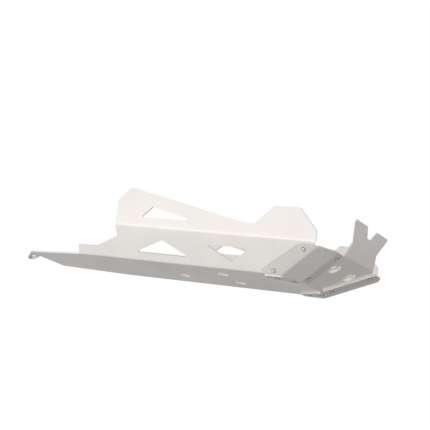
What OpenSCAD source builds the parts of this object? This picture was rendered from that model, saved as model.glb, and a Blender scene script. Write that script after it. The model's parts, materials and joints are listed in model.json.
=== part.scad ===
// Skid plate for an adventure motorcycle: one folded aluminium sheet with a flat bottom, sloping
// sides, upright wings and a nose that turns up into a front shield, closed at its two front
// corners by folded corner sheets that are held with blind rivets.
// X points to the front of the motorcycle, Y to its left, Z up. The origin lies in the middle
// between the two mounting holes of the bottom, on the face that their bolt heads bear against.

/* [Show] */

// Part to show, or all of them

/* [Sheet] */

// Thickness of the main sheet
sheet_t = 3; // [2.5:0.5:4]
// Thickness of the two corner sheets
corner_t = 3; // [2:0.5:4]
// Inside radius of the fold between bottom and lower side
bottom_fold_r = 2; // [1.5:0.5:3]
// Inside radius of the fold between lower side and wing
wing_fold_r = 8; // [4:1:12]
// Inside radius of the fold between bottom and nose
nose_fold_r = 7; // [4:1:8]
// Inside radius of the fold between nose and shield
shield_fold_r = 6; // [4:1:8]
// Inside radius of the folds of the corner sheets
corner_fold_r = 2; // [1:0.5:3]

/* [Bottom] */

// Half width of the bottom between its two side folds
bottom_half_w = 85; // [82:1:95]
// Length of the bottom from the nose fold to the tail edge
tail_x = 640; // [620:5:680]
// Reach of the tail edge from the middle, towards the left
tail_left_w = 66; // [60:1:75]
// Reach of the tail edge from the middle, towards the right
tail_right_w = 50; // [46:1:60]
// Radius of the tail corners
tail_corner_r = 6; // [3:1:8]

/* [Tail ear] */

// Angle by which the ear is bent down
ear_angle = 30; // [20:1:35]
// Distance from the ear fold to its hole
ear_hole_x = 9; // [9:0.5:12]
// Distance of the ear hole from the middle, towards the right
ear_hole_y = 25; // [18:1:28]
// Radius of the rounded ear
ear_r = 11; // [10:0.5:14]

/* [Sides] */

// Angle of the lower side from horizontal
lower_angle = 52; // [48:1:56]
// Length of the lower side along its slope, fold to fold
lower_len = 71; // [68:1:78]
// Outward lean of the wing from vertical
wing_lean = 7; // [0:1:12]
// Rear end of the lower side, behind the nose fold
side_rear_x = 480; // [460:5:500]
// Height of the rear step of the lower side, along its slope
rear_step_h = 19; // [12:1:24]
// Length of the rear step
rear_step_l = 49; // [35:1:60]
// Radius of the rounded corners of sides and wings
side_corner_r = 3; // [1:0.5:5]

/* [Wing outline] */

// Rear end of the wing, behind the nose fold
wing_rear_x = 375; // [370:1:400]
// Height of the rear edge of the wing above its fold
wing_rear_h = 47; // [40:1:55]
// Highest point of the wing, behind the nose fold
wing_peak_x = 347; // [335:1:355]
// Height of that point above the fold
wing_peak_h = 72; // [62:1:80]
// End of the long slope, behind the nose fold
wing_dip_x = 88; // [80:1:100]
// Height of the low part between slope and front lobe
wing_dip_h = 22; // [16:1:30]
// Length of the low part
wing_dip_l = 20; // [12:1:26]
// Height of the front lobe of the wing
lobe_h = 56; // [48:1:62]
// Rear top corner of the front lobe, behind the nose fold
lobe_rear_x = 32; // [28:1:40]
// Front top corner of the front lobe, ahead of the nose fold
lobe_front_x = 20; // [10:1:28]
// Front edge of the wing, ahead of the nose fold
wing_front_x = 57; // [52:1:59]
// Height at which the front edge turns into the lobe
wing_front_h = 19; // [14:1:28]

// Radius of the round relief in front of the wing fold
wing_relief_r = 4; // [2:0.5:5]

/* [Cut-outs] */

// Corner radius of the triangular cut-outs
cutout_r = 2; // [1.5:0.5:2.5]
// Rear triangle in the lower side: rear, top and front corner along X
rear_tri_x = [-338, -270, -216]; // [-345:1:-200]
// Rear triangle: height of its base and of its tip along the slope
rear_tri_s = [16.5, 46]; // [14:0.5:52]
// Front triangle in the lower side: rear, bottom and front corner along X
front_tri_x = [-174, -121, -80]; // [-190:1:-70]
// Front triangle: height of its tip and of its base along the slope
front_tri_s = [15.5, 45.5]; // [12:0.5:52]
// Triangle in the wing: rear, top and front corner along X
wing_tri_x = [-316, -293, -195]; // [-330:1:-190]
// Triangle in the wing: height of its base and of its tip above the fold
wing_tri_h = [17, 38]; // [14:0.5:46]

/* [Nose and shield] */

// Angle of the nose from horizontal
nose_angle = 31; // [28:1:34]
// Length of the nose along its slope, fold to fold
nose_len = 96; // [94:1:100]
// Forward lean of the shield from vertical
shield_lean = 12; // [6:1:16]
// Half width of the shield at its foot
shield_foot_w = 60; // [54:1:62]
// Half width of the waist of the shield
shield_waist_w = 48; // [42:1:54]
// Height of the waist above the fold
shield_waist_h = 31; // [26:1:36]
// Half width across the two horns at the top
horn_out_w = 68.5; // [62:0.5:72]
// Half width between the two horns at the top
horn_in_w = 21.5; // [16:0.5:26]
// Height of the horns above the fold
horn_h = 68; // [62:1:74]
// Half width of the notch floor between the horns
notch_w = 7.3; // [5:0.1:10]
// Height of the notch floor above the fold
notch_h = 49; // [44:1:54]

/* [Mounting holes] */

// Diameter of the five large mounting holes
mount_d = 13; // [9:0.5:14]
// Diameter of the mouth of their pressed dimples
dimple_d = 26; // [24:1:28]
// Depth of the pressed dimples
dimple_h = 3.5; // [1:0.5:4]
// Diameter of the ear hole
ear_hole_d = 8.5; // [6:0.5:9]
// Diameter of the mouth of the ear dimple
ear_dimple_d = 15; // [14:0.5:16]
// Depth of the ear dimple
ear_dimple_h = 1.5; // [1:0.5:2]
// Position of the bottom hole pair behind the nose fold
pair_x = 176.5; // [150:0.5:200]
// Spacing of the bottom hole pair
pair_gap = 66; // [60:1:80]
// Position of the single rear hole behind the nose fold
single_x = 298; // [280:1:320]
// Distance of the single rear hole from the middle, towards the left
single_y = 21; // [0:1:30]
// Position of the nose hole pair along the nose
nose_pair_x = 60; // [50:1:66]
// Spacing of the nose hole pair
nose_pair_gap = 60; // [52:1:66]

/* [Corner sheets] */

// Direction in which the corner facet faces, from straight ahead
facet_dir = 30; // [28:0.5:32]
// Angle of the corner facet from horizontal
facet_tilt = 28.5; // [28:0.5:29.5]
// Distance from the middle of the nose fold to the foot of the corner facet
facet_reach = 24.5; // [23.5:0.5:26]
// Height of the level top edge of the corner sheets
corner_top_z = 47.5; // [45:0.5:48]
// Rear corner of the side flange at its foot, behind the nose fold
side_flange_rear_x = 64; // [58:1:70]
// Rear corner of the side flange at its top, ahead of the nose fold
side_flange_top_x = 24; // [20:1:28]
// Rear end of the bottom flange, behind the nose fold
bottom_flange_rear_x = 58; // [52:1:62]
// Width left between side flange and bottom flange on the bottom
bottom_flange_inset = 4; // [3:0.5:5]
// Width of the nose flange across the nose
nose_flange_w = 21; // [19:1:23]
// Gap between the flanges and the edge of the nose fold
slit_half = 4; // [3:0.5:5]
// Gap between the trimmed edges of the main sheet and the corner facet
edge_gap = 0.5; // [0.3:0.1:1]

/* [Rivets] */

// Diameter of the rivet shank
rivet_d = 4; // [3.2:0.2:4.8]
// Diameter of the rivet holes
rivet_hole_d = 4.1; // [4.1:0.1:5]
// Diameter of the rivet head
rivet_head_d = 8; // [7:0.5:9]
// Height of the rivet head
rivet_head_h = 1.1; // [0.8:0.1:1.4]
// Diameter of the set bulb behind the sheets
rivet_bulb_d = 6.2; // [5.4:0.2:6.6]
// Height of the set bulb
rivet_bulb_h = 3; // [2.4:0.2:4]
// Diameter of the pulling pin
pin_d = 2.2; // [1.8:0.1:2.4]
// Play around the pulling pin
pin_play = 0.05; // [0.03:0.01:0.08]
// Lower side rivet: along X, along the slope
side_rivet_a = [-33, 8.5]; // [-40:0.5:12]
// Upper side rivet: along X, along the slope
side_rivet_b = [34, 55]; // [30:0.5:56]
// Rear bottom rivet: along X, from the middle
bottom_rivet_a = [-39, 64]; // [-42:0.5:66]
// Front bottom rivet: along X, from the middle
bottom_rivet_b = [-11, 51.5]; // [-14:0.5:54]
// Lower nose rivet: along the nose, from the middle
nose_rivet_a = [15, 48.5]; // [14:0.5:50]
// Upper nose rivet: along the nose, from the middle
nose_rivet_b = [84, 69]; // [66:0.5:85]

/* [Hidden] */

$fn = 96;
wing_angle = 90 - wing_lean;
wing_bend = wing_angle - lower_angle;
shield_angle = 90 - shield_lean;
shield_bend = shield_angle - nose_angle;
side_front_x = wing_front_x + 3;
shoulder_x = nose_len - 2;
nose_fold_back = (nose_fold_r + sheet_t) * tan(nose_angle / 2);
bottom_fold_back = (bottom_fold_r + sheet_t) * tan(lower_angle / 2);
ear_fold_r = 2;
front_lap = 15;
// Keeps each arc from just missing the flat beside it
arc_ease = 0.0005;
wing_fold_y = bottom_half_w + lower_len * cos(lower_angle);
wing_fold_z = lower_len * sin(lower_angle);
shield_fold_x = nose_len * cos(nose_angle);
shield_fold_z = nose_len * sin(nose_angle);
grip = sheet_t + corner_t;
far = 900;
reach_out = 12;
// Inward normals and plane distances of the four outer faces that meet at a front corner
in_low = [0, -sin(lower_angle), cos(lower_angle)];
in_facet = [-sin(facet_tilt) * cos(facet_dir), -sin(facet_tilt) * sin(facet_dir), cos(facet_tilt)];
in_bottom = [0, 0, 1];
in_nose = [-sin(nose_angle), 0, cos(nose_angle)];
d_low = in_low * [0, bottom_half_w, 0];
d_facet = in_facet * [facet_reach * cos(facet_dir), facet_reach * sin(facet_dir), 0];

// Everything is drawn from the middle of the nose fold and then moved to the datum
module from_datum() {
    translate([pair_x, 0, -dimple_h])
        children();
}

// Places, each with its first axis along the panel, its third axis pointing inward

module on_low() {
    translate([0, bottom_half_w, 0])
        rotate([lower_angle, 0, 0])
            children();
}

module on_wing() {
    translate([0, wing_fold_y, wing_fold_z])
        rotate([wing_angle, 0, 0])
            children();
}

module on_nose() {
    rotate([0, -nose_angle, 0])
        children();
}

module on_shield() {
    translate([shield_fold_x, 0, shield_fold_z])
        rotate([0, -shield_angle, 0])
            children();
}

module on_facet() {
    rotate([0, 0, facet_dir])
        translate([facet_reach, 0, 0])
            rotate([0, -facet_tilt, 0])
                children();
}

module on_ear() {
    translate([-tail_x, 0, 0])
        rotate([0, -ear_angle, 0])
            children();
}

module right_side() {
    mirror([0, 1, 0])
        children();
}

module both_sides() {
    children();
    right_side()
        children();
}

// Everything inward of the local plane, moved outward by the given distance
module inward(out = 0) {
    translate([-far, -far, -out])
        cube([2 * far, 2 * far, far + out]);
}

// Everything outward of the local plane, moved inward by the given distance
module outward(into = 0) {
    translate([-far, -far, into - far])
        cube([2 * far, 2 * far, far]);
}

// Outline with rounded corners, hollow corners included

function unit(v) = v / norm(v);
function turn(a, b, c) = cross(b - a, c - b);
function winding(pts, i = 0) =
    i == len(pts) ? 0 : cross(pts[i], pts[(i + 1) % len(pts)]) + winding(pts, i + 1);
function half_tan(a, b, c) = tan(acos(unit(b - a) * unit(c - b)) / 2);
function bisector(a, b, c) = unit(unit(a - b) + unit(c - b));
function round_centre(a, b, c, r) =
    b + bisector(a, b, c) * r * sqrt(1 + pow(half_tan(a, b, c), 2));

module rounded(pts, r) {
    n = len(pts);
    way = sign(winding(pts));
    cut = [
        for (i = [0 : n - 1])
            let (
                a = pts[(i + n - 1) % n],
                b = pts[i],
                c = pts[(i + 1) % n],
                l = r * half_tan(a, b, c)
            )
            each [b + unit(a - b) * l, b + unit(c - b) * l]
    ];
    difference() {
        union() {
            polygon(cut);
            for (i = [0 : n - 1]) {
                a = pts[(i + n - 1) % n];
                b = pts[i];
                c = pts[(i + 1) % n];
                if (way * turn(a, b, c) > 0)
                    translate(round_centre(a, b, c, r))
                        circle(r);
            }
        }
        for (i = [0 : n - 1]) {
            a = pts[(i + n - 1) % n];
            b = pts[i];
            c = pts[(i + 1) % n];
            if (way * turn(a, b, c) < 0)
                translate(round_centre(a, b, c, r))
                    circle(r);
        }
    }
}

// Section of a bent strip, given by the sharp corners of its outer side, the inside radius of each
// fold and its thickness; the strip lies to the left of the outer side

function left(v) = [-v.y, v.x];

module bent(p, r, t) {
    n = len(p);
    d = [for (i = [0 : n - 2]) unit(p[i + 1] - p[i])];
    inner = [
        for (i = [n - 1 : -1 : 0])
            let (
                a = d[max(i - 1, 0)],
                b = d[min(i, n - 2)]
            )
            p[i] + unit(left(a) + left(b)) * t / cos(acos(min(a * b, 1)) / 2)
    ];
    difference() {
        union() {
            polygon(concat(p, inner));
            for (i = [1 : n - 2])
                at_fold(p[i], d[i - 1], d[i])
                    fold_corner(acos(d[i - 1] * d[i]) / 2, r[i - 1], t, t / 2);
        }
        for (i = [1 : n - 2])
            at_fold(p[i], d[i - 1], d[i])
                fold_corner(acos(d[i - 1] * d[i]) / 2, r[i - 1] + t, 0, 1);
    }
}

module at_fold(p, a, b) {
    m = left(a) + left(b);
    translate(p)
        rotate(atan2(m.y, m.x) - 90)
            children();
}

// What a rounded fold leaves between its arc and its sharp corner, drawn with the corner upwards
module fold_corner(half, r, rise, under) {
    w = r * sin(half);
    difference() {
        translate([-w, rise / cos(half) - under])
            square([2 * w, w * tan(half) + under]);
        translate([0, (r + rise) / cos(half)])
            circle(r + arc_ease);
    }
}

// Section of one side: half of the bottom, lower side and wing
module side_section() {
    a = [bottom_half_w, 0];
    b = [wing_fold_y, wing_fold_z];
    top = wing_peak_h + 20;
    bent(
        [[0, 0], a, b, b + top * [cos(wing_angle), sin(wing_angle)]],
        [bottom_fold_r, wing_fold_r],
        sheet_t
    );
}

// Section of the front: end of the bottom, nose and shield
module front_section() {
    b = [shield_fold_x, shield_fold_z];
    top = horn_h + 20;
    bent(
        [[-front_lap, 0], [0, 0], b, b + top * [cos(shield_angle), sin(shield_angle)]],
        [nose_fold_r, shield_fold_r],
        sheet_t
    );
}

// Section of the ear, seen from above: end of the tail and the part bent down
module ear_section() {
    a = [tail_x + sheet_t * tan(ear_angle / 2), 0];
    bent([a - [20, 0], a, a + 50 * [cos(ear_angle), sin(ear_angle)]], [ear_fold_r], sheet_t);
}

// Main plate

module side_blank() {
    translate([-side_rear_x, 0, 0])
        rotate([90, 0, 90])
            linear_extrude(side_rear_x + side_front_x)
                side_section();
}

// What stays of the lower side, measured along X and along the slope
module low_outline() {
    top = lower_len + 1;
    polygon([
        [-side_rear_x, -20],
        [far / 5, -20],
        [far / 5, top],
        [-wing_rear_x + 1.5, top],
        [-wing_rear_x - 1, lower_len * 0.65],
        [-side_rear_x + rear_step_l, rear_step_h + 2],
        [-side_rear_x + 3, rear_step_h],
        [-side_rear_x, 0]
    ]);
}

// What stays of the wing, measured along X and above its fold
module wing_outline() {
    rounded([
        [-wing_rear_x, -14],
        [wing_front_x + 1.2, -14],
        [wing_front_x + 1.2, 2],
        [wing_front_x, wing_front_h],
        [lobe_front_x, lobe_h],
        [-lobe_rear_x, lobe_h],
        [wing_dip_l - wing_dip_x, wing_dip_h],
        [-wing_dip_x, wing_dip_h],
        [-wing_peak_x, wing_peak_h],
        [-wing_rear_x, wing_rear_h]
    ], side_corner_r);
}

module side_panels() {
    intersection() {
        side_blank();
        union() {
            translate([-far, -1, -far])
                cube([far - nose_fold_back, bottom_half_w + 1, 2 * far]);
            on_low()
                translate([0, 0, -reach_out])
                    linear_extrude(2 * reach_out + sheet_t)
                        low_outline();
            on_wing()
                translate([0, 0, -2 * reach_out])
                    linear_extrude(4 * reach_out + sheet_t)
                        wing_outline();
        }
    }
}

// What stays of the shield, measured above the fold and from the middle
module shield_outline() {
    rounded([
        [-12, -shield_foot_w],
        [-12, shield_foot_w],
        [0, shield_foot_w],
        [shield_waist_h, shield_waist_w],
        [horn_h, horn_out_w],
        [horn_h, horn_in_w],
        [notch_h, notch_w],
        [notch_h, -notch_w],
        [horn_h, -horn_in_w],
        [horn_h, -horn_out_w],
        [shield_waist_h, -shield_waist_w],
        [0, -shield_foot_w]
    ], 2.5);
}

module front_panels() {
    intersection() {
        translate([0, bottom_half_w + 10, 0])
            rotate([90, 0, 0])
                linear_extrude(2 * bottom_half_w + 20)
                    front_section();
        union() {
            on_nose()
                translate([-140, -bottom_half_w - 10, -40])
                    cube([140 + shoulder_x, 2 * bottom_half_w + 20, 80]);
            on_shield()
                translate([0, 0, -10])
                    linear_extrude(40)
                        shield_outline();
        }
    }
}

module tail() {
    linear_extrude(sheet_t)
        rounded([
            [-side_rear_x + 60, -bottom_half_w + 6],
            [-side_rear_x + 60, bottom_half_w - 6],
            [-side_rear_x, bottom_half_w - 2],
            [-tail_x, tail_left_w],
            [-tail_x, -tail_right_w],
            [-side_rear_x, -bottom_half_w + 2]
        ], tail_corner_r);
}

// Point where a line from p touches the circle round c, on its rear side
function touch(c, r, p) =
    let (
        v = unit(p - c),
        a = acos(r / norm(p - c))
    )
    c + r * [v.x * cos(a) + v.y * sin(a), v.y * cos(a) - v.x * sin(a)];

// The ear that carries the rear mounting hole, bent down behind the tail edge
module ear() {
    hole = [-ear_hole_x, -ear_hole_y];
    inner = -ear_hole_y + ear_r;
    outer = -tail_right_w + tail_corner_r;
    intersection() {
        translate([0, (inner + outer) / 2, sheet_t])
            rotate([0, 180, 0])
                rotate([90, 0, 0])
                    linear_extrude(inner - outer, center = true)
                        ear_section();
        on_ear()
            translate([0, 0, -15])
                linear_extrude(30) {
                    translate(hole)
                        circle(ear_r);
                    polygon([
                        [15, outer],
                        [15, inner],
                        [-ear_hole_x, inner],
                        hole,
                        touch(hole, ear_r, [0, outer]),
                        [0, outer]
                    ]);
                }
    }
}

// A dimple pressed inward so that a screw head stays clear of the ground

module dimple_wall(mouth, h) {
    low = sheet_t / 2;
    r = mouth / 2 + sheet_t * sqrt(2);
    translate([0, 0, low])
        cylinder(h = sheet_t + h - low, r1 = r - low, r2 = r - sheet_t - h);
}

module dimple_cut(mouth, h, d) {
    translate([0, 0, -1])
        cylinder(h = h + 1, r1 = mouth / 2 + 1, r2 = mouth / 2 - h);
    translate([0, 0, -5])
        cylinder(h = 30, d = d);
}

module at_mounts() {
    for (y = [-pair_gap / 2, pair_gap / 2])
        translate([-pair_x, y, 0])
            children();
    translate([-single_x, single_y, 0])
        children();
    on_nose()
        for (y = [-nose_pair_gap / 2, nose_pair_gap / 2])
            translate([nose_pair_x, y, 0])
                children();
}

module at_ear_mount() {
    on_ear()
        translate([-ear_hole_x, -ear_hole_y, 0])
            children();
}

// Rivet places, first along the panel, third axis pointing inward from its outer face

module at_side_rivets() {
    on_low() {
        translate([side_rivet_a.x, side_rivet_a.y, 0])
            children();
        translate([side_rivet_b.x, side_rivet_b.y, 0])
            children();
    }
}

module at_bottom_rivets() {
    translate([bottom_rivet_a.x, bottom_rivet_a.y, 0])
        children();
    translate([bottom_rivet_b.x, bottom_rivet_b.y, 0])
        children();
}

module at_nose_rivets() {
    on_nose() {
        translate([nose_rivet_a.x, nose_rivet_a.y, 0])
            children();
        translate([nose_rivet_b.x, nose_rivet_b.y, 0])
            children();
    }
}

module rivet_hole() {
    translate([0, 0, -corner_t - 1])
        cylinder(h = grip + 2, d = rivet_hole_d);
}

module rivet_holes() {
    at_side_rivets()
        rivet_hole();
    at_bottom_rivets()
        rivet_hole();
    at_nose_rivets()
        rivet_hole();
}

// Triangular cut-outs, each drawn in its panel

module low_cutouts() {
    rounded([
        [rear_tri_x[0], rear_tri_s[0]],
        [rear_tri_x[2], rear_tri_s[0]],
        [rear_tri_x[1], rear_tri_s[1]]
    ], cutout_r);
    rounded([
        [front_tri_x[1], front_tri_s[0]],
        [front_tri_x[2], front_tri_s[1]],
        [front_tri_x[0], front_tri_s[1]]
    ], cutout_r);
}

module wing_cutout() {
    rounded([
        [wing_tri_x[0], wing_tri_h[0]],
        [wing_tri_x[2], wing_tri_h[0]],
        [wing_tri_x[1], wing_tri_h[1]]
    ], cutout_r);
}

// Small round relief at the rear end of each side fold and at each end of the shield fold
// The last cut trims the wing fold back to the wing's front edge and ends in a round relief
module reliefs() {
    foot = lower_len - wing_fold_r * 0.7;
    translate([-side_rear_x, bottom_half_w - 1, -5])
        cylinder(h = 15, r = 3);
    on_low()
        translate([wing_front_x + 1, foot, -10])
            cylinder(h = 25, r = wing_relief_r);
    on_low()
        translate([wing_front_x + 1, foot - wing_relief_r, -10])
            cube([20, wing_relief_r + wing_fold_r, 25]);
    on_nose()
        translate([shoulder_x - 1, shield_foot_w + 1.5, -5])
            cylinder(h = 15, r = 2);
}

module folded_sheet() {
    difference() {
        union() {
            both_sides()
                side_panels();
            front_panels();
            tail();
            ear();
            at_mounts()
                dimple_wall(dimple_d, dimple_h);
            at_ear_mount()
                dimple_wall(ear_dimple_d, ear_dimple_h);
        }
        at_mounts()
            dimple_cut(dimple_d, dimple_h, mount_d);
        at_ear_mount()
            dimple_cut(ear_dimple_d, ear_dimple_h, ear_hole_d);
        both_sides() {
            on_low()
                translate([0, 0, -5])
                    linear_extrude(sheet_t + 10)
                        low_cutouts();
            on_wing()
                translate([0, 0, -5])
                    linear_extrude(sheet_t + 10)
                        wing_cutout();
            on_facet()
                outward(edge_gap);
            reliefs();
            rivet_holes();
        }
    }
}

module main_plate() {
    color([0.8, 0.81, 0.82])
        from_datum()
            folded_sheet();
}

// Corner sheets: drawn for the left side as the skin of a corner made of four planes

module corner_body(out) {
    r = corner_fold_r + out;
    difference() {
        intersection() {
            on_low()
                inward(out);
            on_facet()
                inward(out);
            inward(out);
            on_nose()
                inward(out);
        }
        fold_round(in_low, d_low, in_facet, d_facet, out, r);
        fold_round(in_bottom, 0, in_facet, d_facet, out, r);
        fold_round(in_nose, 0, in_facet, d_facet, out, r);
    }
}

// Takes the sharp corner off the fold between two planes, each given by its inward normal and
// distance and moved outward
module fold_round(na, da, nb, db, out, r) {
    u = cross(na, nb);
    p = ((da - out) * cross(nb, u) + (db - out) * cross(u, na)) / (u * u);
    z = unit(u);
    y = unit(na + nb);
    x = cross(y, z);
    multmatrix([
        [x[0], y[0], z[0], p[0]],
        [x[1], y[1], z[1], p[1]],
        [x[2], y[2], z[2], p[2]]
    ])
        translate([0, 0, -200])
            linear_extrude(400)
                fold_corner(acos(na * nb) / 2, r, 0, 1);
}

function nose_fold_y(x) =
    (facet_reach + x * (sin(nose_angle) / tan(facet_tilt) - cos(nose_angle) * cos(facet_dir)))
    / sin(facet_dir);

module side_flange_outline() {
    foot = bottom_fold_back + 0.6;
    top = (corner_top_z + corner_t * cos(lower_angle)) / sin(lower_angle);
    rounded([
        [-side_flange_rear_x, foot],
        [150, foot],
        [150, top],
        [side_flange_top_x, top]
    ], 2.5);
}

module bottom_flange_outline() {
    edge = bottom_half_w - bottom_flange_inset;
    rounded([
        [-bottom_flange_rear_x, edge - 20],
        [-slit_half, edge - 46],
        [-slit_half, edge],
        [-bottom_flange_rear_x, edge]
    ], 2.5);
}

module nose_flange_outline() {
    top = (corner_top_z + corner_t * cos(nose_angle)) / sin(nose_angle);
    rounded([
        [slit_half, nose_fold_y(slit_half) - nose_flange_w],
        [top, nose_fold_y(top) - nose_flange_w],
        [top, 150],
        [slit_half, 150]
    ], 2.5);
}

// Everything on the facet's side of the fold between the facet and the given plane
module facet_side(n, d) {
    v = n - in_facet;
    c = d - d_facet;
    translate(v * c / (v * v))
        rotate([0, acos(v.z / norm(v)), atan2(v.y, v.x)])
            translate([-far, -far, 0])
                cube([2 * far, 2 * far, far]);
}

module flange(n, d) {
    difference() {
        children();
        facet_side(n, d);
    }
}

module corner_sheet() {
    top = (corner_top_z + corner_t * cos(facet_tilt)) / sin(facet_tilt);
    low = corner_t + 1;
    difference() {
        intersection() {
            difference() {
                corner_body(corner_t);
                corner_body(0);
            }
            union() {
                flange(in_low, d_low)
                    on_low()
                        translate([0, 0, -low])
                            linear_extrude(low + 1.5)
                                side_flange_outline();
                flange(in_bottom, 0)
                    translate([0, 0, -low])
                        linear_extrude(low + 1.5)
                            bottom_flange_outline();
                flange(in_nose, 0)
                    on_nose()
                        translate([0, 0, -low])
                            linear_extrude(low + 1.5)
                                nose_flange_outline();
                intersection() {
                    on_facet()
                        translate([-5, -200, -low])
                            cube([top + 5, 400, low + 1.5]);
                    facet_side(in_low, d_low);
                    facet_side(in_bottom, 0);
                    facet_side(in_nose, 0);
                }
            }
        }
        translate([(facet_reach - bottom_half_w * sin(facet_dir)) / cos(facet_dir), bottom_half_w, 0])
            sphere(r = slit_half + 1);
        translate([0, facet_reach / sin(facet_dir), 0])
            sphere(r = slit_half + 1);
        rivet_holes();
    }
}

module corner_sheet_left() {
    color([0.74, 0.75, 0.77])
        from_datum()
            corner_sheet();
}

module corner_sheet_right() {
    color([0.74, 0.75, 0.77])
        from_datum()
            right_side()
                corner_sheet();
}

// Blind rivets: a headed sleeve with its set bulb, and the pulling pin broken off inside it

module rivet() {
    dome_r = (pow(rivet_head_d / 2, 2) + pow(rivet_head_h, 2)) / (2 * rivet_head_h);
    translate([0, 0, -corner_t])
        rotate_extrude()
            difference() {
                union() {
                    intersection() {
                        translate([0, dome_r - rivet_head_h])
                            circle(dome_r);
                        translate([0, -rivet_head_h])
                            square([rivet_head_d, rivet_head_h]);
                    }
                    square([rivet_d / 2, grip + rivet_bulb_h]);
                    polygon([
                        [0, grip],
                        [rivet_bulb_d / 2 - 0.4, grip],
                        [rivet_bulb_d / 2, grip + 0.7],
                        [rivet_bulb_d / 2, grip + rivet_bulb_h - 1],
                        [rivet_d / 2 + 0.2, grip + rivet_bulb_h],
                        [0, grip + rivet_bulb_h]
                    ]);
                }
                translate([0, -5])
                    square([pin_d / 2 + pin_play, 30]);
            }
}

module rivet_pin() {
    translate([0, 0, -corner_t])
        rotate_extrude() {
            translate([0, 0.4 - rivet_head_h])
                square([pin_d / 2, grip + rivet_bulb_h + rivet_head_h]);
            polygon([
                [0, grip + rivet_bulb_h],
                [pin_d / 2 + 0.6, grip + rivet_bulb_h],
                [pin_d / 2 + 0.6, grip + rivet_bulb_h + 1],
                [pin_d / 2, grip + rivet_bulb_h + 1.6],
                [0, grip + rivet_bulb_h + 1.6]
            ]);
        }
}

module rivet_colour() {
    color([0.62, 0.63, 0.65])
        from_datum()
            children();
}

module pin_colour() {
    color([0.42, 0.42, 0.44])
        from_datum()
            children();
}

module side_rivets_left() {
    rivet_colour()
        at_side_rivets()
            rivet();
}

module side_rivets_right() {
    rivet_colour()
        right_side()
            at_side_rivets()
                rivet();
}

module bottom_rivets_left() {
    rivet_colour()
        at_bottom_rivets()
            rivet();
}

module bottom_rivets_right() {
    rivet_colour()
        right_side()
            at_bottom_rivets()
                rivet();
}

module nose_rivets_left() {
    rivet_colour()
        at_nose_rivets()
            rivet();
}

module nose_rivets_right() {
    rivet_colour()
        right_side()
            at_nose_rivets()
                rivet();
}

module side_pins_left() {
    pin_colour()
        at_side_rivets()
            rivet_pin();
}

module side_pins_right() {
    pin_colour()
        right_side()
            at_side_rivets()
                rivet_pin();
}

module bottom_pins_left() {
    pin_colour()
        at_bottom_rivets()
            rivet_pin();
}

module bottom_pins_right() {
    pin_colour()
        right_side()
            at_bottom_rivets()
                rivet_pin();
}

module nose_pins_left() {
    pin_colour()
        at_nose_rivets()
            rivet_pin();
}

module nose_pins_right() {
    pin_colour()
        right_side()
            at_nose_rivets()
                rivet_pin();
}

main_plate();
corner_sheet_right();
corner_sheet_left();
side_rivets_right();
side_rivets_left();
bottom_rivets_right();
bottom_rivets_left();
nose_rivets_right();
nose_rivets_left();
side_pins_right();
side_pins_left();
bottom_pins_right();
bottom_pins_left();
nose_pins_right();
nose_pins_left();
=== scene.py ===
"""Skid plate for an adventure motorcycle, dressed in satin aluminium and shown from low at the front.

Metres, +X to the front of the motorcycle, +Y to its left, +Z up, as the solids are.
"""

import json
import math

import bmesh
import bpy
import numpy as np
from mathutils import Matrix, Vector

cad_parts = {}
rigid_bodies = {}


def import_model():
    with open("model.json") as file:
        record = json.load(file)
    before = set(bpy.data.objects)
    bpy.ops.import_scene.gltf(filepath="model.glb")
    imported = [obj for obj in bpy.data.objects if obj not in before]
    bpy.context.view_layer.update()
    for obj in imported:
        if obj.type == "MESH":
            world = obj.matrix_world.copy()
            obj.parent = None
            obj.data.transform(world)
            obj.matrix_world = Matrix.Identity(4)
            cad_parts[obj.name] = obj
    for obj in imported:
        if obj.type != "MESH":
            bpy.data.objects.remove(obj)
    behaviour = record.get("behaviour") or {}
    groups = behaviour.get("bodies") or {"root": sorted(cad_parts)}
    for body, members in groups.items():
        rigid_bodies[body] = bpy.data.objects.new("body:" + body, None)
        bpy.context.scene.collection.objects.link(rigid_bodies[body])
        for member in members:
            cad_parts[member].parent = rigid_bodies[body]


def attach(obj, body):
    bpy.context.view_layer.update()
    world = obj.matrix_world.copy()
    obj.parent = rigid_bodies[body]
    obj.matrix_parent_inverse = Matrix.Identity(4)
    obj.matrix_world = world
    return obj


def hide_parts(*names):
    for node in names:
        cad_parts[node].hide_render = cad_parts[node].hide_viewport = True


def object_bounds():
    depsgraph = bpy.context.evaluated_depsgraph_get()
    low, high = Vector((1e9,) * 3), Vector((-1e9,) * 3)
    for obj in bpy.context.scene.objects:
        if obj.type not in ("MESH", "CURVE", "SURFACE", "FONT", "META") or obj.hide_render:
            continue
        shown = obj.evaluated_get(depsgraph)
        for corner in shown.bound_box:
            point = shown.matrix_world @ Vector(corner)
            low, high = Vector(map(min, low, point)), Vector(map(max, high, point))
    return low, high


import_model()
solid_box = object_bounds()

# The folded main sheet: floor, sloping sides, upright wings, nose and shield from one blank of 3 mm
# aluminium. It is laser cut, its holes are pressed to dimples, and it is folded in a press brake.
# The faces keep the fine grain of the rolling mill under a satin blast; cut edges are painted lighter,
# as a painted highlight.
sheet_colour = (0.86, 0.822, 0.79)
sheet_roughness = 0.40
# the cut edges' lighter colour is a painted highlight
edge_highlight_colour = (0.93, 0.905, 0.88)
edge_roughness = 0.30
edge_break = 0.0003  # radius to which the deburred edges are broken
waviness = 0.0015  # how far a folded panel is out of flat
grain_relief = 0.0002
crease_reach = 0.0035  # how far the painted shade reaches out from a crease
# the dark colour painted into the creases as shade
crease_shade_colour = (0.30, 0.275, 0.25)
clouds_per_metre = 11.0
grain_per_metre = 3000.0
specks_per_metre = 1700.0
hairs_per_metre = 620.0
waves_per_metre = 7.0
grain_stretch = (0.03, 1, 1)
hair_stretch = (0.02, 1, 1)
smooth_within = math.radians(28)  # a sharper edge than this stays sharp
fold_limit = math.radians(50)  # a sharper edge than this is a cut edge and no fold
merge_within = 2e-6  # how far apart the loose corners of a solid's triangles may lie
widest_faces = 8  # as many faces as are sure to be skin


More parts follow.
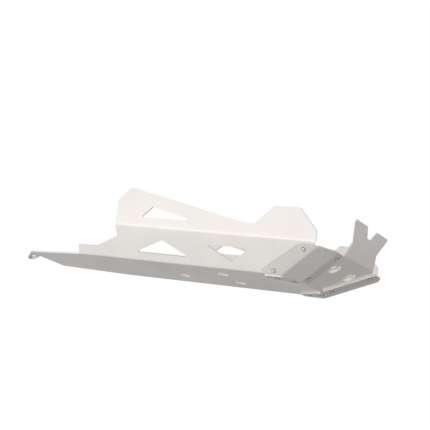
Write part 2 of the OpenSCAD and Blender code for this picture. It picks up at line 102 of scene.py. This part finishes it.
def satin_metal(name, colour, roughness, grain_depth, cloud, crease_shade, rolled=False):
    """Satin metal: fine grain, hairline scuffs, soft clouds of handling and painted shade in the
    creases.
    Rolled sheet has its grain along the attribute that folded_sheet gives it."""
    m = bpy.data.materials.new(name)
    m.use_nodes = True
    nt = m.node_tree
    nt.nodes.clear()
    link = nt.links.new
    out = nt.nodes.new("ShaderNodeOutputMaterial")
    metal = nt.nodes.new("ShaderNodeBsdfPrincipled")
    metal.inputs["Metallic"].default_value = 1.0
    link(metal.outputs[0], out.inputs["Surface"])
    place = nt.nodes.new("ShaderNodeTexCoord").outputs["Object"]
    along = place
    if rolled:
        unrolled = nt.nodes.new("ShaderNodeAttribute")
        unrolled.attribute_name = "grain"
        along = unrolled.outputs["Vector"]

    def noise(scale, detail, stretch=(1, 1, 1), rough=0.5, on=place):
        turned = nt.nodes.new("ShaderNodeMapping")
        turned.inputs["Scale"].default_value = stretch
        link(on, turned.inputs["Vector"])
        n = nt.nodes.new("ShaderNodeTexNoise")
        n.inputs["Scale"].default_value = scale
        n.inputs["Detail"].default_value = detail
        n.inputs["Roughness"].default_value = rough
        link(turned.outputs[0], n.inputs["Vector"])
        return n.outputs["Fac"]

    def ranged(value, low, high, to_low, to_high):
        r = nt.nodes.new("ShaderNodeMapRange")
        ends = {"From Min": low, "From Max": high, "To Min": to_low, "To Max": to_high}
        for socket, v in ends.items():
            r.inputs[socket].default_value = v
        link(value, r.inputs["Value"])
        return r.outputs[0]

    def mixed(factor, a, b):
        mix = nt.nodes.new("ShaderNodeMix")
        mix.data_type = "RGBA"
        link(factor, mix.inputs["Factor"])
        for socket, v in ((6, a), (7, b)):
            if isinstance(v, tuple):
                mix.inputs[socket].default_value = (*v, 1)
            else:
                link(v, mix.inputs[socket])
        return mix.outputs[2]

    # colour: cloudy from handling, streaked by the grain, bare along hairlines, darkened in the creases
    # as painted shade
    clouds = noise(clouds_per_metre, 4.0, rough=0.62)
    grain = noise(grain_per_metre, 2.0, stretch=grain_stretch, on=along)
    specks = noise(specks_per_metre, 1.0)
    cloudy = mixed(
        ranged(clouds, 0.34, 0.66, 0, 1),
        tuple(c * (1 - cloud) for c in colour),
        tuple(min(1.0, c * (1 + cloud)) for c in colour),
    )
    streaked = mixed(ranged(grain, 0.60, 0.38, 0, 0.20), cloudy, tuple(c * 0.65 for c in colour))
    pitted = mixed(ranged(specks, 0.36, 0.24, 0, 0.22), streaked, tuple(c * 0.55 for c in colour))
    scuffs = noise(hairs_per_metre, 2.0, stretch=hair_stretch, rough=0.7, on=along)
    hairs = ranged(scuffs, 0.68, 0.76, 0, 0.4)
    scuffed = mixed(hairs, pitted, tuple(min(1.0, c * 1.12) for c in colour))
    # painted shade: the colour darkens where the surface is hemmed in, in the creases and round the
    # rivet heads
    crease = nt.nodes.new("ShaderNodeAmbientOcclusion")
    crease.samples = 8
    crease.inputs["Distance"].default_value = crease_reach
    crease_shaded = mixed(ranged(crease.outputs["AO"], 0.45, 0.92, crease_shade, 0), scuffed, crease_shade_colour)
    link(crease_shaded, metal.inputs["Base Color"])

    # roughness: clouds, grain and hairlines
    def add(a, b):
        both = nt.nodes.new("ShaderNodeMath")
        link(a, both.inputs[0])
        link(b, both.inputs[1])
        return both.outputs[0]

    smudged = ranged(clouds, 0.3, 0.7, roughness - 0.03, roughness + 0.03)
    grained = add(smudged, ranged(grain, 0.3, 0.7, -0.05, 0.05))
    link(add(grained, ranged(hairs, 0, 1, 0, -0.25)), metal.inputs["Roughness"])
    # relief: rolling grain on a sheet that is not quite flat, over a broken edge
    broken = nt.nodes.new("ShaderNodeBevel")
    broken.samples = 4
    broken.inputs["Radius"].default_value = edge_break
    flatness = nt.nodes.new("ShaderNodeBump")
    flatness.inputs["Strength"].default_value = 1.0
    flatness.inputs["Distance"].default_value = waviness
    link(noise(waves_per_metre, 1.0), flatness.inputs["Height"])
    link(broken.outputs[0], flatness.inputs["Normal"])
    relief = nt.nodes.new("ShaderNodeBump")
    relief.inputs["Strength"].default_value = grain_depth
    relief.inputs["Distance"].default_value = grain_relief
    link(grain, relief.inputs["Height"])
    link(flatness.outputs[0], relief.inputs["Normal"])
    link(relief.outputs[0], metal.inputs["Normal"])
    return m


def folded_sheet(node, skin, edge, coil):
    """The node's solid as one smooth-shaded skin, with the faces of its cut edges told apart."""
    bm = bmesh.new()
    bm.from_mesh(bpy.data.objects[node].data)
    bmesh.ops.remove_doubles(bm, verts=bm.verts, dist=merge_within)
    for e in bm.edges:
        e.smooth = not (len(e.link_faces) == 2 and e.calc_face_angle(0) > smooth_within)
    # a face belongs to the skin if gentle folds lead to it from the widest faces
    queue = sorted(bm.faces, key=lambda f: -f.calc_area())[:widest_faces]
    seen = set(queue)
    while queue:
        for e in queue.pop().edges:
            if len(e.link_faces) == 2 and e.calc_face_angle(0) < fold_limit:
                for g in e.link_faces:
                    if g not in seen:
                        seen.add(g)
                        queue.append(g)
    # the grain runs along the coil; on each face its place is told along and across that way
    unrolled = bm.loops.layers.float_vector.new("grain")
    for f in bm.faces:
        f.smooth = True
        f.material_index = 0 if f in seen else 1
        along = (coil - f.normal * coil.dot(f.normal)).normalized()
        across = f.normal.cross(along)
        for corner in f.loops:
            corner[unrolled] = (corner.vert.co.dot(along), corner.vert.co.dot(across), 0)
    mesh = bpy.data.meshes.new(node + "_skin")
    bm.to_mesh(mesh)
    bm.free()
    mesh.materials.append(skin)
    mesh.materials.append(edge)
    piece = bpy.data.objects.new(node + "_skin", mesh)
    bpy.context.scene.collection.objects.link(piece)
    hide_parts(node)
    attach(piece, "root")
    return piece


sheet_skin = satin_metal(
    "satin_sheet", sheet_colour, sheet_roughness,
    grain_depth=0.12, cloud=0.025, crease_shade=0.55, rolled=True,
)
# the cut edges are painted lighter than the faces, a painted highlight
cut_edge_highlight = satin_metal(
    "cut_edge_highlight", edge_highlight_colour, edge_roughness, grain_depth=0.20, cloud=0.03, crease_shade=0.25
)
main_sheet = folded_sheet("main_plate", sheet_skin, cut_edge_highlight, coil=Vector((1, 0.02, 0.01)))

# The corner sheets: two small folded sheets that close the front corners from outside. Each lies on
# the side, the floor and the nose with a flange and is riveted there. They are cut across the coil,
# so their grain runs the other way, and look a shade greyer than the main sheet.
corner_colour = tuple(c * 0.83 for c in sheet_colour)
corner_roughness = 0.42
corner_skin = satin_metal(
    "satin_corner_sheet", corner_colour, corner_roughness,
    grain_depth=0.12, cloud=0.025, crease_shade=0.6, rolled=True,
)
for side in ("right", "left"):
    across_coil = Vector((0.3, -1 if side == "right" else 1, 0.1))
    corner = folded_sheet("corner_sheet_" + side, corner_skin, cut_edge_highlight, coil=across_coil)

# Twelve aluminium blind rivets. Each has a low domed head outside, a shank through both sheets and a
# barrel that was set behind them when its steel pin was pulled and snapped off in the head.
head_d = 0.008
head_h = 0.0011
head_lip = 0.00035
mouth_d = 0.0025
mouth_depth = 0.0006
shank_d = 0.004
grip = 0.006
barrel_d = 0.0062
barrel_h = 0.003
shade_rim_from = 0.74  # share of the head's radius at which the painted ring of shade begins
dome_power = 2.4  # how flat the middle of the dome is
barrel_pinch = 1.9  # how far the barrel's ends draw in
crisp_over = 0.6  # radians; a sharper edge of a rivet or pin than this stays sharp
rim_within = 0.0002  # how near to the head's radius a point of the solid is on its rim
rivet_groups = [
    f"{panel}_rivets_{side}" for panel in ("side", "bottom", "nose") for side in ("right", "left")
]


def rivet_seats(nodes):
    """Where each rivet's head sits on the sheet, and the way it looks, read from the solids."""
    seats = []
    for name in nodes:
        bm = bmesh.new()
        bm.from_mesh(bpy.data.objects[name].data)
        bmesh.ops.remove_doubles(bm, verts=bm.verts, dist=merge_within)
        left = set(bm.verts)
        while left:
            island, queue = [], [left.pop()]
            while queue:
                v = queue.pop()
                island.append(v.co[:])
                for e in v.link_edges:
                    w = e.other_vert(v)
                    if w in left:
                        left.remove(w)
                        queue.append(w)
            at = np.array(island)
            middle = (at.min(0) + at.max(0)) / 2
            spread, ways = np.linalg.eigh(np.cov((at - at.mean(0)).T))
            # the axis is the one way in which the spread has no twin
            odd = 2 if spread[2] - spread[1] > spread[1] - spread[0] else 0
            out = ways[:, odd]
            on_axis = at.mean(0)
            along = (at - on_axis) @ out
            away = np.linalg.norm(at - on_axis - np.outer(along, out), axis=1)
            rim = along[away > head_d / 2 - rim_within].mean()
            if rim < (along.min() + along.max()) / 2:
                out, rim = -out, -rim
            seats.append((Vector(on_axis + out * rim), Vector(out)))
        bm.free()
    return seats


class Tree:
    """A geometry tree in the making: nodes by name, and links from socket to socket."""

    def __init__(self, name, sizes):
        self.tree = bpy.data.node_groups.new(name, "GeometryNodeTree")
        self.ids = {}
        self.tree.interface.new_socket("Geometry", in_out="INPUT", socket_type="NodeSocketGeometry")
        for label in sizes:
            socket = self.tree.interface.new_socket(
                label, in_out="INPUT", socket_type="NodeSocketFloat"
            )
            self.ids[label] = socket.identifier
        self.tree.interface.new_socket("Geometry", in_out="OUTPUT", socket_type="NodeSocketGeometry")
        self.given = self.tree.nodes.new("NodeGroupInput")
        self.result = self.tree.nodes.new("NodeGroupOutput")

    def node(self, kind, inputs=(), **settings):
        n = self.tree.nodes.new(kind)
        for key, value in settings.items():
            setattr(n, key, value)
        for key, value in dict(inputs).items():
            if isinstance(value, bpy.types.NodeSocket):
                self.tree.links.new(value, n.inputs[key])
            else:
                n.inputs[key].default_value = value
        return n

    def size(self, label):
        return self.given.outputs[label]

    def calc(self, operation, a, b):
        return self.node("ShaderNodeMath", {0: a, 1: b}, operation=operation).outputs[0]

    def vector(self, x=0.0, y=0.0, z=0.0):
        return self.node("ShaderNodeCombineXYZ", {0: x, 1: y, 2: z}).outputs[0]

    def cylinder(self, diameter, depth, top, rings=1, caps=1, around=40):
        """A cylinder from top downwards, with rings along it and in its caps."""
        c = self.node(
            "GeometryNodeMeshCylinder",
            {
                "Vertices": around,
                "Side Segments": rings,
                "Fill Segments": caps,
                "Radius": self.calc("MULTIPLY", diameter, 0.5),
                "Depth": depth,
            },
        )
        down = self.calc("SUBTRACT", top, self.calc("MULTIPLY", depth, 0.5))
        return self.node(
            "GeometryNodeTransform", {"Geometry": c.outputs["Mesh"], "Translation": self.vector(z=down)}
        ).outputs[0]

    def at_each_seat(self, parts, material, shade_rim_material=None):
        """Joins the parts, puts them on each seat, and ends in real geometry with its materials."""
        join = self.node("GeometryNodeJoinGeometry")
        for part in parts:
            self.tree.links.new(part, join.inputs[0])
        smooth = self.node("GeometryNodeSetShadeSmooth", {"Geometry": join.outputs[0]}, domain="FACE")
        corner = self.node("GeometryNodeInputMeshEdgeAngle")
        sharp = self.node(
            "FunctionNodeCompare", {0: corner.outputs[0], 1: crisp_over}, operation="GREATER_THAN"
        )
        crisp = self.node(
            "GeometryNodeSetShadeSmooth",
            {"Geometry": smooth.outputs[0], "Selection": sharp.outputs[0], "Shade Smooth": False},
            domain="EDGE",
        )
        out = self.node("GeometryNodeInputNamedAttribute", {"Name": "out"}, data_type="FLOAT_VECTOR")
        turn = self.node("FunctionNodeAlignRotationToVector", {"Vector": out.outputs[0]}, axis="Z")
        each = self.node(
            "GeometryNodeInstanceOnPoints",
            {
                "Points": self.given.outputs[0],
                "Instance": crisp.outputs[0],
                "Rotation": turn.outputs[0],
            },
        )
        real = self.node("GeometryNodeRealizeInstances", {"Geometry": each.outputs[0]})
        dressed = self.node(
            "GeometryNodeSetMaterial", {"Geometry": real.outputs[0], "Material": material}
        )
        # the faces stored as rim take the painted shade material
        if shade_rim_material:
            rim = self.node("GeometryNodeInputNamedAttribute", {"Name": "rim"}, data_type="BOOLEAN")
            dressed = self.node(
                "GeometryNodeSetMaterial",
                {"Geometry": dressed.outputs[0], "Selection": rim.outputs[0], "Material": shade_rim_material},
            )
        self.tree.links.new(dressed.outputs[0], self.result.inputs[0])


def set_at_seats(name, tree, sizes, nodes):
    """Runs the tree on the rivets' seats and keeps its result as a plain mesh for the nodes."""
    seats = rivet_seats(rivet_groups)
    mesh = bpy.data.meshes.new(name + "_seats")
    mesh.from_pydata([at for at, out in seats], [], [])
    way = mesh.attributes.new("out", "FLOAT_VECTOR", "POINT")
    for i, (at, out) in enumerate(seats):
        way.data[i].vector = out
    carrier = bpy.data.objects.new(name + "_seats", mesh)
    bpy.context.scene.collection.objects.link(carrier)
    made = carrier.modifiers.new(name, "NODES")
    made.node_group = tree.tree
    for label, value in sizes.items():
        made[tree.ids[label]] = value
    seen = carrier.evaluated_get(bpy.context.evaluated_depsgraph_get())
    result = bpy.data.meshes.new_from_object(seen)
    carrier.modifiers.remove(made)
    bpy.data.objects.remove(carrier)
    result.name = name
    piece = bpy.data.objects.new(name, result)
    bpy.context.scene.collection.objects.link(piece)
    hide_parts(*nodes)
    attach(piece, "root")


rivet_alloy = satin_metal(
    "rivet_alloy", (0.86, 0.83, 0.80), 0.30, grain_depth=0.12, cloud=0.04, crease_shade=0.9
)
# near black for the head's rim: painted shade
rivet_shade_rim = satin_metal(
    "rivet_shade_rim", (0.13, 0.12, 0.11), 0.40, grain_depth=0.2, cloud=0.08, crease_shade=0.9
)
rivet = Tree(
    "blind_rivet",
    ["Head Diameter", "Head Height", "Lip", "Mouth Diameter", "Mouth Depth", "Shank Diameter", "Grip",
     "Barrel Diameter", "Barrel Height", "Shade Rim From"],
)
# head: a disc whose top is raised to a low dome, with a mouth sunk in its middle
disc = rivet.cylinder(rivet.size("Head Diameter"), rivet.size("Lip"), rivet.size("Lip"), caps=16)
at = rivet.node("GeometryNodeInputPosition").outputs[0]
xyz = rivet.node("ShaderNodeSeparateXYZ", {0: at})
flat = rivet.vector(x=xyz.outputs[0], y=xyz.outputs[1])
radius = rivet.node("ShaderNodeVectorMath", {0: flat}, operation="LENGTH").outputs["Value"]
reach = rivet.calc("DIVIDE", radius, rivet.calc("MULTIPLY", rivet.size("Head Diameter"), 0.5))
dome = rivet.calc(
    "MULTIPLY",
    rivet.calc("SUBTRACT", rivet.size("Head Height"), rivet.size("Lip")),
    rivet.calc("SUBTRACT", 1.0, rivet.calc("POWER", reach, dome_power)),
)
in_mouth = rivet.calc("LESS_THAN", radius, rivet.calc("MULTIPLY", rivet.size("Mouth Diameter"), 0.5))
rise = rivet.calc("SUBTRACT", dome, rivet.calc("MULTIPLY", in_mouth, rivet.size("Mouth Depth")))
on_top = rivet.calc("GREATER_THAN", xyz.outputs[2], rivet.calc("MULTIPLY", rivet.size("Lip"), 0.5))
raised = rivet.node(
    "GeometryNodeSetPosition", {"Geometry": disc, "Selection": on_top, "Offset": rivet.vector(z=rise)}
).outputs[0]
# the outer slope of the dome and its lip are coloured near black, a painted ring of shade round each
# head
outer = rivet.node(
    "FunctionNodeCompare", {0: reach, 1: rivet.size("Shade Rim From")}, operation="GREATER_THAN"
)
head = rivet.node(
    "GeometryNodeStoreNamedAttribute",
    {"Geometry": raised, "Name": "rim", "Value": outer.outputs[0]},
    data_type="BOOLEAN",
    domain="FACE",
).outputs[0]
shank = rivet.cylinder(rivet.size("Shank Diameter"), rivet.size("Grip"), 0.0)
# barrel: swollen between the sheet and the pin's own head
behind = rivet.calc("MULTIPLY", rivet.size("Grip"), -1.0)
tube = rivet.cylinder(rivet.size("Barrel Diameter"), rivet.size("Barrel Height"), behind, rings=10)
middle = rivet.calc("SUBTRACT", behind, rivet.calc("MULTIPLY", rivet.size("Barrel Height"), 0.5))
off = rivet.calc("DIVIDE", rivet.calc("SUBTRACT", xyz.outputs[2], middle), rivet.size("Barrel Height"))
from_middle = rivet.calc("ABSOLUTE", off, 0.0)
pinch = rivet.calc("MULTIPLY", rivet.calc("POWER", from_middle, 3.0), -barrel_pinch)
inward = rivet.node("ShaderNodeVectorMath", {0: flat, "Scale": pinch}, operation="SCALE").outputs[0]
barrel = rivet.node("GeometryNodeSetPosition", {"Geometry": tube, "Offset": inward}).outputs[0]
rivet.at_each_seat([head, shank, barrel], rivet_alloy, rivet_shade_rim)
set_at_seats(
    "blind_rivets",
    rivet,
    {
        "Head Diameter": head_d, "Head Height": head_h, "Lip": head_lip, "Mouth Diameter": mouth_d,
        "Mouth Depth": mouth_depth, "Shank Diameter": shank_d, "Grip": grip,
        "Barrel Diameter": barrel_d, "Barrel Height": barrel_h, "Shade Rim From": shade_rim_from,
    },
    rivet_groups,
)

# The steel pins that stay in the rivets: each ends rough and dark just below the head, where it
# snapped, and in a small head of its own behind the barrel, which it was pulled against.
pin_d = 0.0022
snap_depth = 0.00045
pin_head_d = 0.0034
pin_head_h = 0.001
pin_steel = satin_metal(
    "pin_steel", (0.42, 0.40, 0.38), 0.45, grain_depth=0.35, cloud=0.12, crease_shade=0.5
)
pin = Tree("snapped_pin", ["Pin Diameter", "Top", "Behind", "Pin Head Diameter", "Pin Head Height"])
stem_length = pin.calc("SUBTRACT", pin.size("Top"), pin.size("Behind"))
stem = pin.cylinder(pin.size("Pin Diameter"), stem_length, pin.size("Top"), caps=4, around=24)
foot = pin.node(
    "GeometryNodeMeshCone",
    {
        "Vertices": 24,
        "Radius Top": pin.calc("MULTIPLY", pin.size("Pin Head Diameter"), 0.5),
        "Radius Bottom": pin.calc("MULTIPLY", pin.size("Pin Diameter"), 0.55),
        "Depth": pin.size("Pin Head Height"),
    },
)
below = pin.calc("SUBTRACT", pin.size("Behind"), pin.size("Pin Head Height"))
foot_placed = pin.node(
    "GeometryNodeTransform", {"Geometry": foot.outputs["Mesh"], "Translation": pin.vector(z=below)}
).outputs[0]
pin.at_each_seat([stem, foot_placed], pin_steel)
set_at_seats(
    "snapped_pins",
    pin,
    {
        "Pin Diameter": pin_d, "Top": head_h - snap_depth, "Behind": -grip - barrel_h,
        "Pin Head Diameter": pin_head_d, "Pin Head Height": pin_head_h,
    },
    [name.replace("rivets", "pins") for name in rivet_groups],
)

# The studio: a white surround, and a pale floor under the plate that is seen from above only, so that
# it hides nothing from below. In the metal the white falls off away from the window side, above the
# horizon a little and on the ground more, and that is what gives each panel its own tone.
floor_z = solid_box[0].z - 0.0002
floor_colour = (0.86, 0.86, 0.855)
bpy.ops.mesh.primitive_plane_add(size=30, location=(-0.1, 0, floor_z))
floor = bpy.context.object
floor.name = "floor"
pale = bpy.data.materials.new("pale_floor")
pale.use_nodes = True
nt = pale.node_tree
nt.nodes.clear()
out = nt.nodes.new("ShaderNodeOutputMaterial")
matt = nt.nodes.new("ShaderNodeBsdfDiffuse")
matt.inputs["Color"].default_value = (*floor_colour, 1)
clear = nt.nodes.new("ShaderNodeBsdfTransparent")
path = nt.nodes.new("ShaderNodeLightPath")
side_of = nt.nodes.new("ShaderNodeNewGeometry")
front = nt.nodes.new("ShaderNodeMath")
front.operation = "SUBTRACT"
front.use_clamp = True
nt.links.new(path.outputs["Is Camera Ray"], front.inputs[0])
nt.links.new(side_of.outputs["Backfacing"], front.inputs[1])
mix = nt.nodes.new("ShaderNodeMixShader")
nt.links.new(front.outputs[0], mix.inputs["Fac"])
nt.links.new(clear.outputs[0], mix.inputs[1])
nt.links.new(matt.outputs[0], mix.inputs[2])
nt.links.new(mix.outputs[0], out.inputs["Surface"])
floor.data.materials.append(pale)

# place from the window side (0) to the far side (1), and the brightness there
ground_from_window = ((0.0, 1.0), (0.17, 1.0), (0.33, 0.86), (0.72, 0.80), (0.86, 0.35), (1.0, 0.31))
sky_from_window = ((0.0, 1.0), (0.45, 0.92), (1.0, 0.66))
horizon = (-0.27, 0.42)  # heights between which the ground gives way to the sky
underfoot = 0.72  # how bright the ground straight below is beside the ground farther off
underfoot_rise = (-0.97, -0.72)
zenith = 0.50  # how bright the sky's top is beside its horizon
zenith_rise = (0.30, 0.85)
world = bpy.data.worlds.new("studio")
bpy.context.scene.world = world
world.use_nodes = True
nt = world.node_tree
nt.nodes.clear()
out = nt.nodes.new("ShaderNodeOutputWorld")
where = nt.nodes.new("ShaderNodeTexCoord")
split = nt.nodes.new("ShaderNodeSeparateXYZ")
nt.links.new(where.outputs["Generated"], split.inputs[0])
across = nt.nodes.new("ShaderNodeMapRange")
across.inputs["From Min"].default_value = -1
nt.links.new(split.outputs["Y"], across.inputs["Value"])


def falling_off(stops):
    fall = nt.nodes.new("ShaderNodeValToRGB")
    ramp = fall.color_ramp.elements
    while len(ramp) < len(stops):
        ramp.new(0.5)
    for stop, (at, level) in zip(ramp, stops):
        stop.position = at
        stop.color = (level, level, level, 1)
    nt.links.new(across.outputs[0], fall.inputs[0])
    return fall.outputs["Color"]


def rising(low, high, at_low, at_high):
    rise = nt.nodes.new("ShaderNodeMapRange")
    rise.interpolation_type = "SMOOTHSTEP"
    ends = {"From Min": low, "From Max": high, "To Min": at_low, "To Max": at_high}
    for socket, v in ends.items():
        rise.inputs[socket].default_value = v
    nt.links.new(split.outputs["Z"], rise.inputs["Value"])
    return rise.outputs[0]


def shaded(colour, by):
    dim = nt.nodes.new("ShaderNodeVectorMath")
    dim.operation = "SCALE"
    nt.links.new(colour, dim.inputs[0])
    nt.links.new(by, dim.inputs["Scale"])
    return dim.outputs[0]


level = nt.nodes.new("ShaderNodeMix")
level.data_type = "RGBA"
nt.links.new(rising(*horizon, 0, 1), level.inputs["Factor"])
ground = shaded(falling_off(ground_from_window), rising(*underfoot_rise, underfoot, 1))
nt.links.new(ground, level.inputs[6])
nt.links.new(falling_off(sky_from_window), level.inputs[7])
surround = nt.nodes.new("ShaderNodeBackground")
nt.links.new(level.outputs[2], surround.inputs["Color"])
nt.links.new(rising(*zenith_rise, 1, zenith), surround.inputs["Strength"])
white = nt.nodes.new("ShaderNodeBackground")
white.inputs["Color"].default_value = (1, 1, 1, 1)
path = nt.nodes.new("ShaderNodeLightPath")
mix = nt.nodes.new("ShaderNodeMixShader")
nt.links.new(path.outputs["Is Glossy Ray"], mix.inputs["Fac"])
nt.links.new(white.outputs[0], mix.inputs[1])
nt.links.new(surround.outputs[0], mix.inputs[2])
nt.links.new(mix.outputs[0], out.inputs["Surface"])


def lamp(name, at, toward, size, watts):
    data = bpy.data.lights.new(name, "AREA")
    data.shape = "RECTANGLE"
    data.size, data.size_y = size
    data.energy = watts
    o = bpy.data.objects.new(name, data)
    bpy.context.scene.collection.objects.link(o)
    o.location = at
    o.rotation_euler = (Vector(toward) - Vector(at)).to_track_quat("-Z", "Y").to_euler()
    o.visible_camera = False


lamp("window", (-1.5, -2.1, -0.9), (-0.1, 0, 0.03), (2.2, 1.8), 4)
lamp("ceiling", (0.2, -0.4, 2.4), (-0.1, 0, 0), (2.0, 2.0), 3)

# The camera stands low at the right front and looks slightly up, as one crouches to see such a
# plate on its motorcycle. Its place was worked out from the plate's corners.
camera_data = bpy.data.cameras.new("low_front_right")
camera_data.sensor_width = 36.0
camera_data.lens = 103.80
camera_data.clip_start, camera_data.clip_end = 0.05, 60
camera = bpy.data.objects.new("low_front_right", camera_data)
bpy.context.scene.collection.objects.link(camera)
camera.matrix_world = Matrix((
    (0.833070, -0.065253, 0.549305, 1.250313),
    (0.512215, -0.283974, -0.810552, -1.942728),
    (0.208879, 0.956609, -0.203147, -0.369887),
    (0, 0, 0, 1),
))
bpy.context.scene.camera = camera

bpy.context.scene.view_settings.view_transform = "Standard"
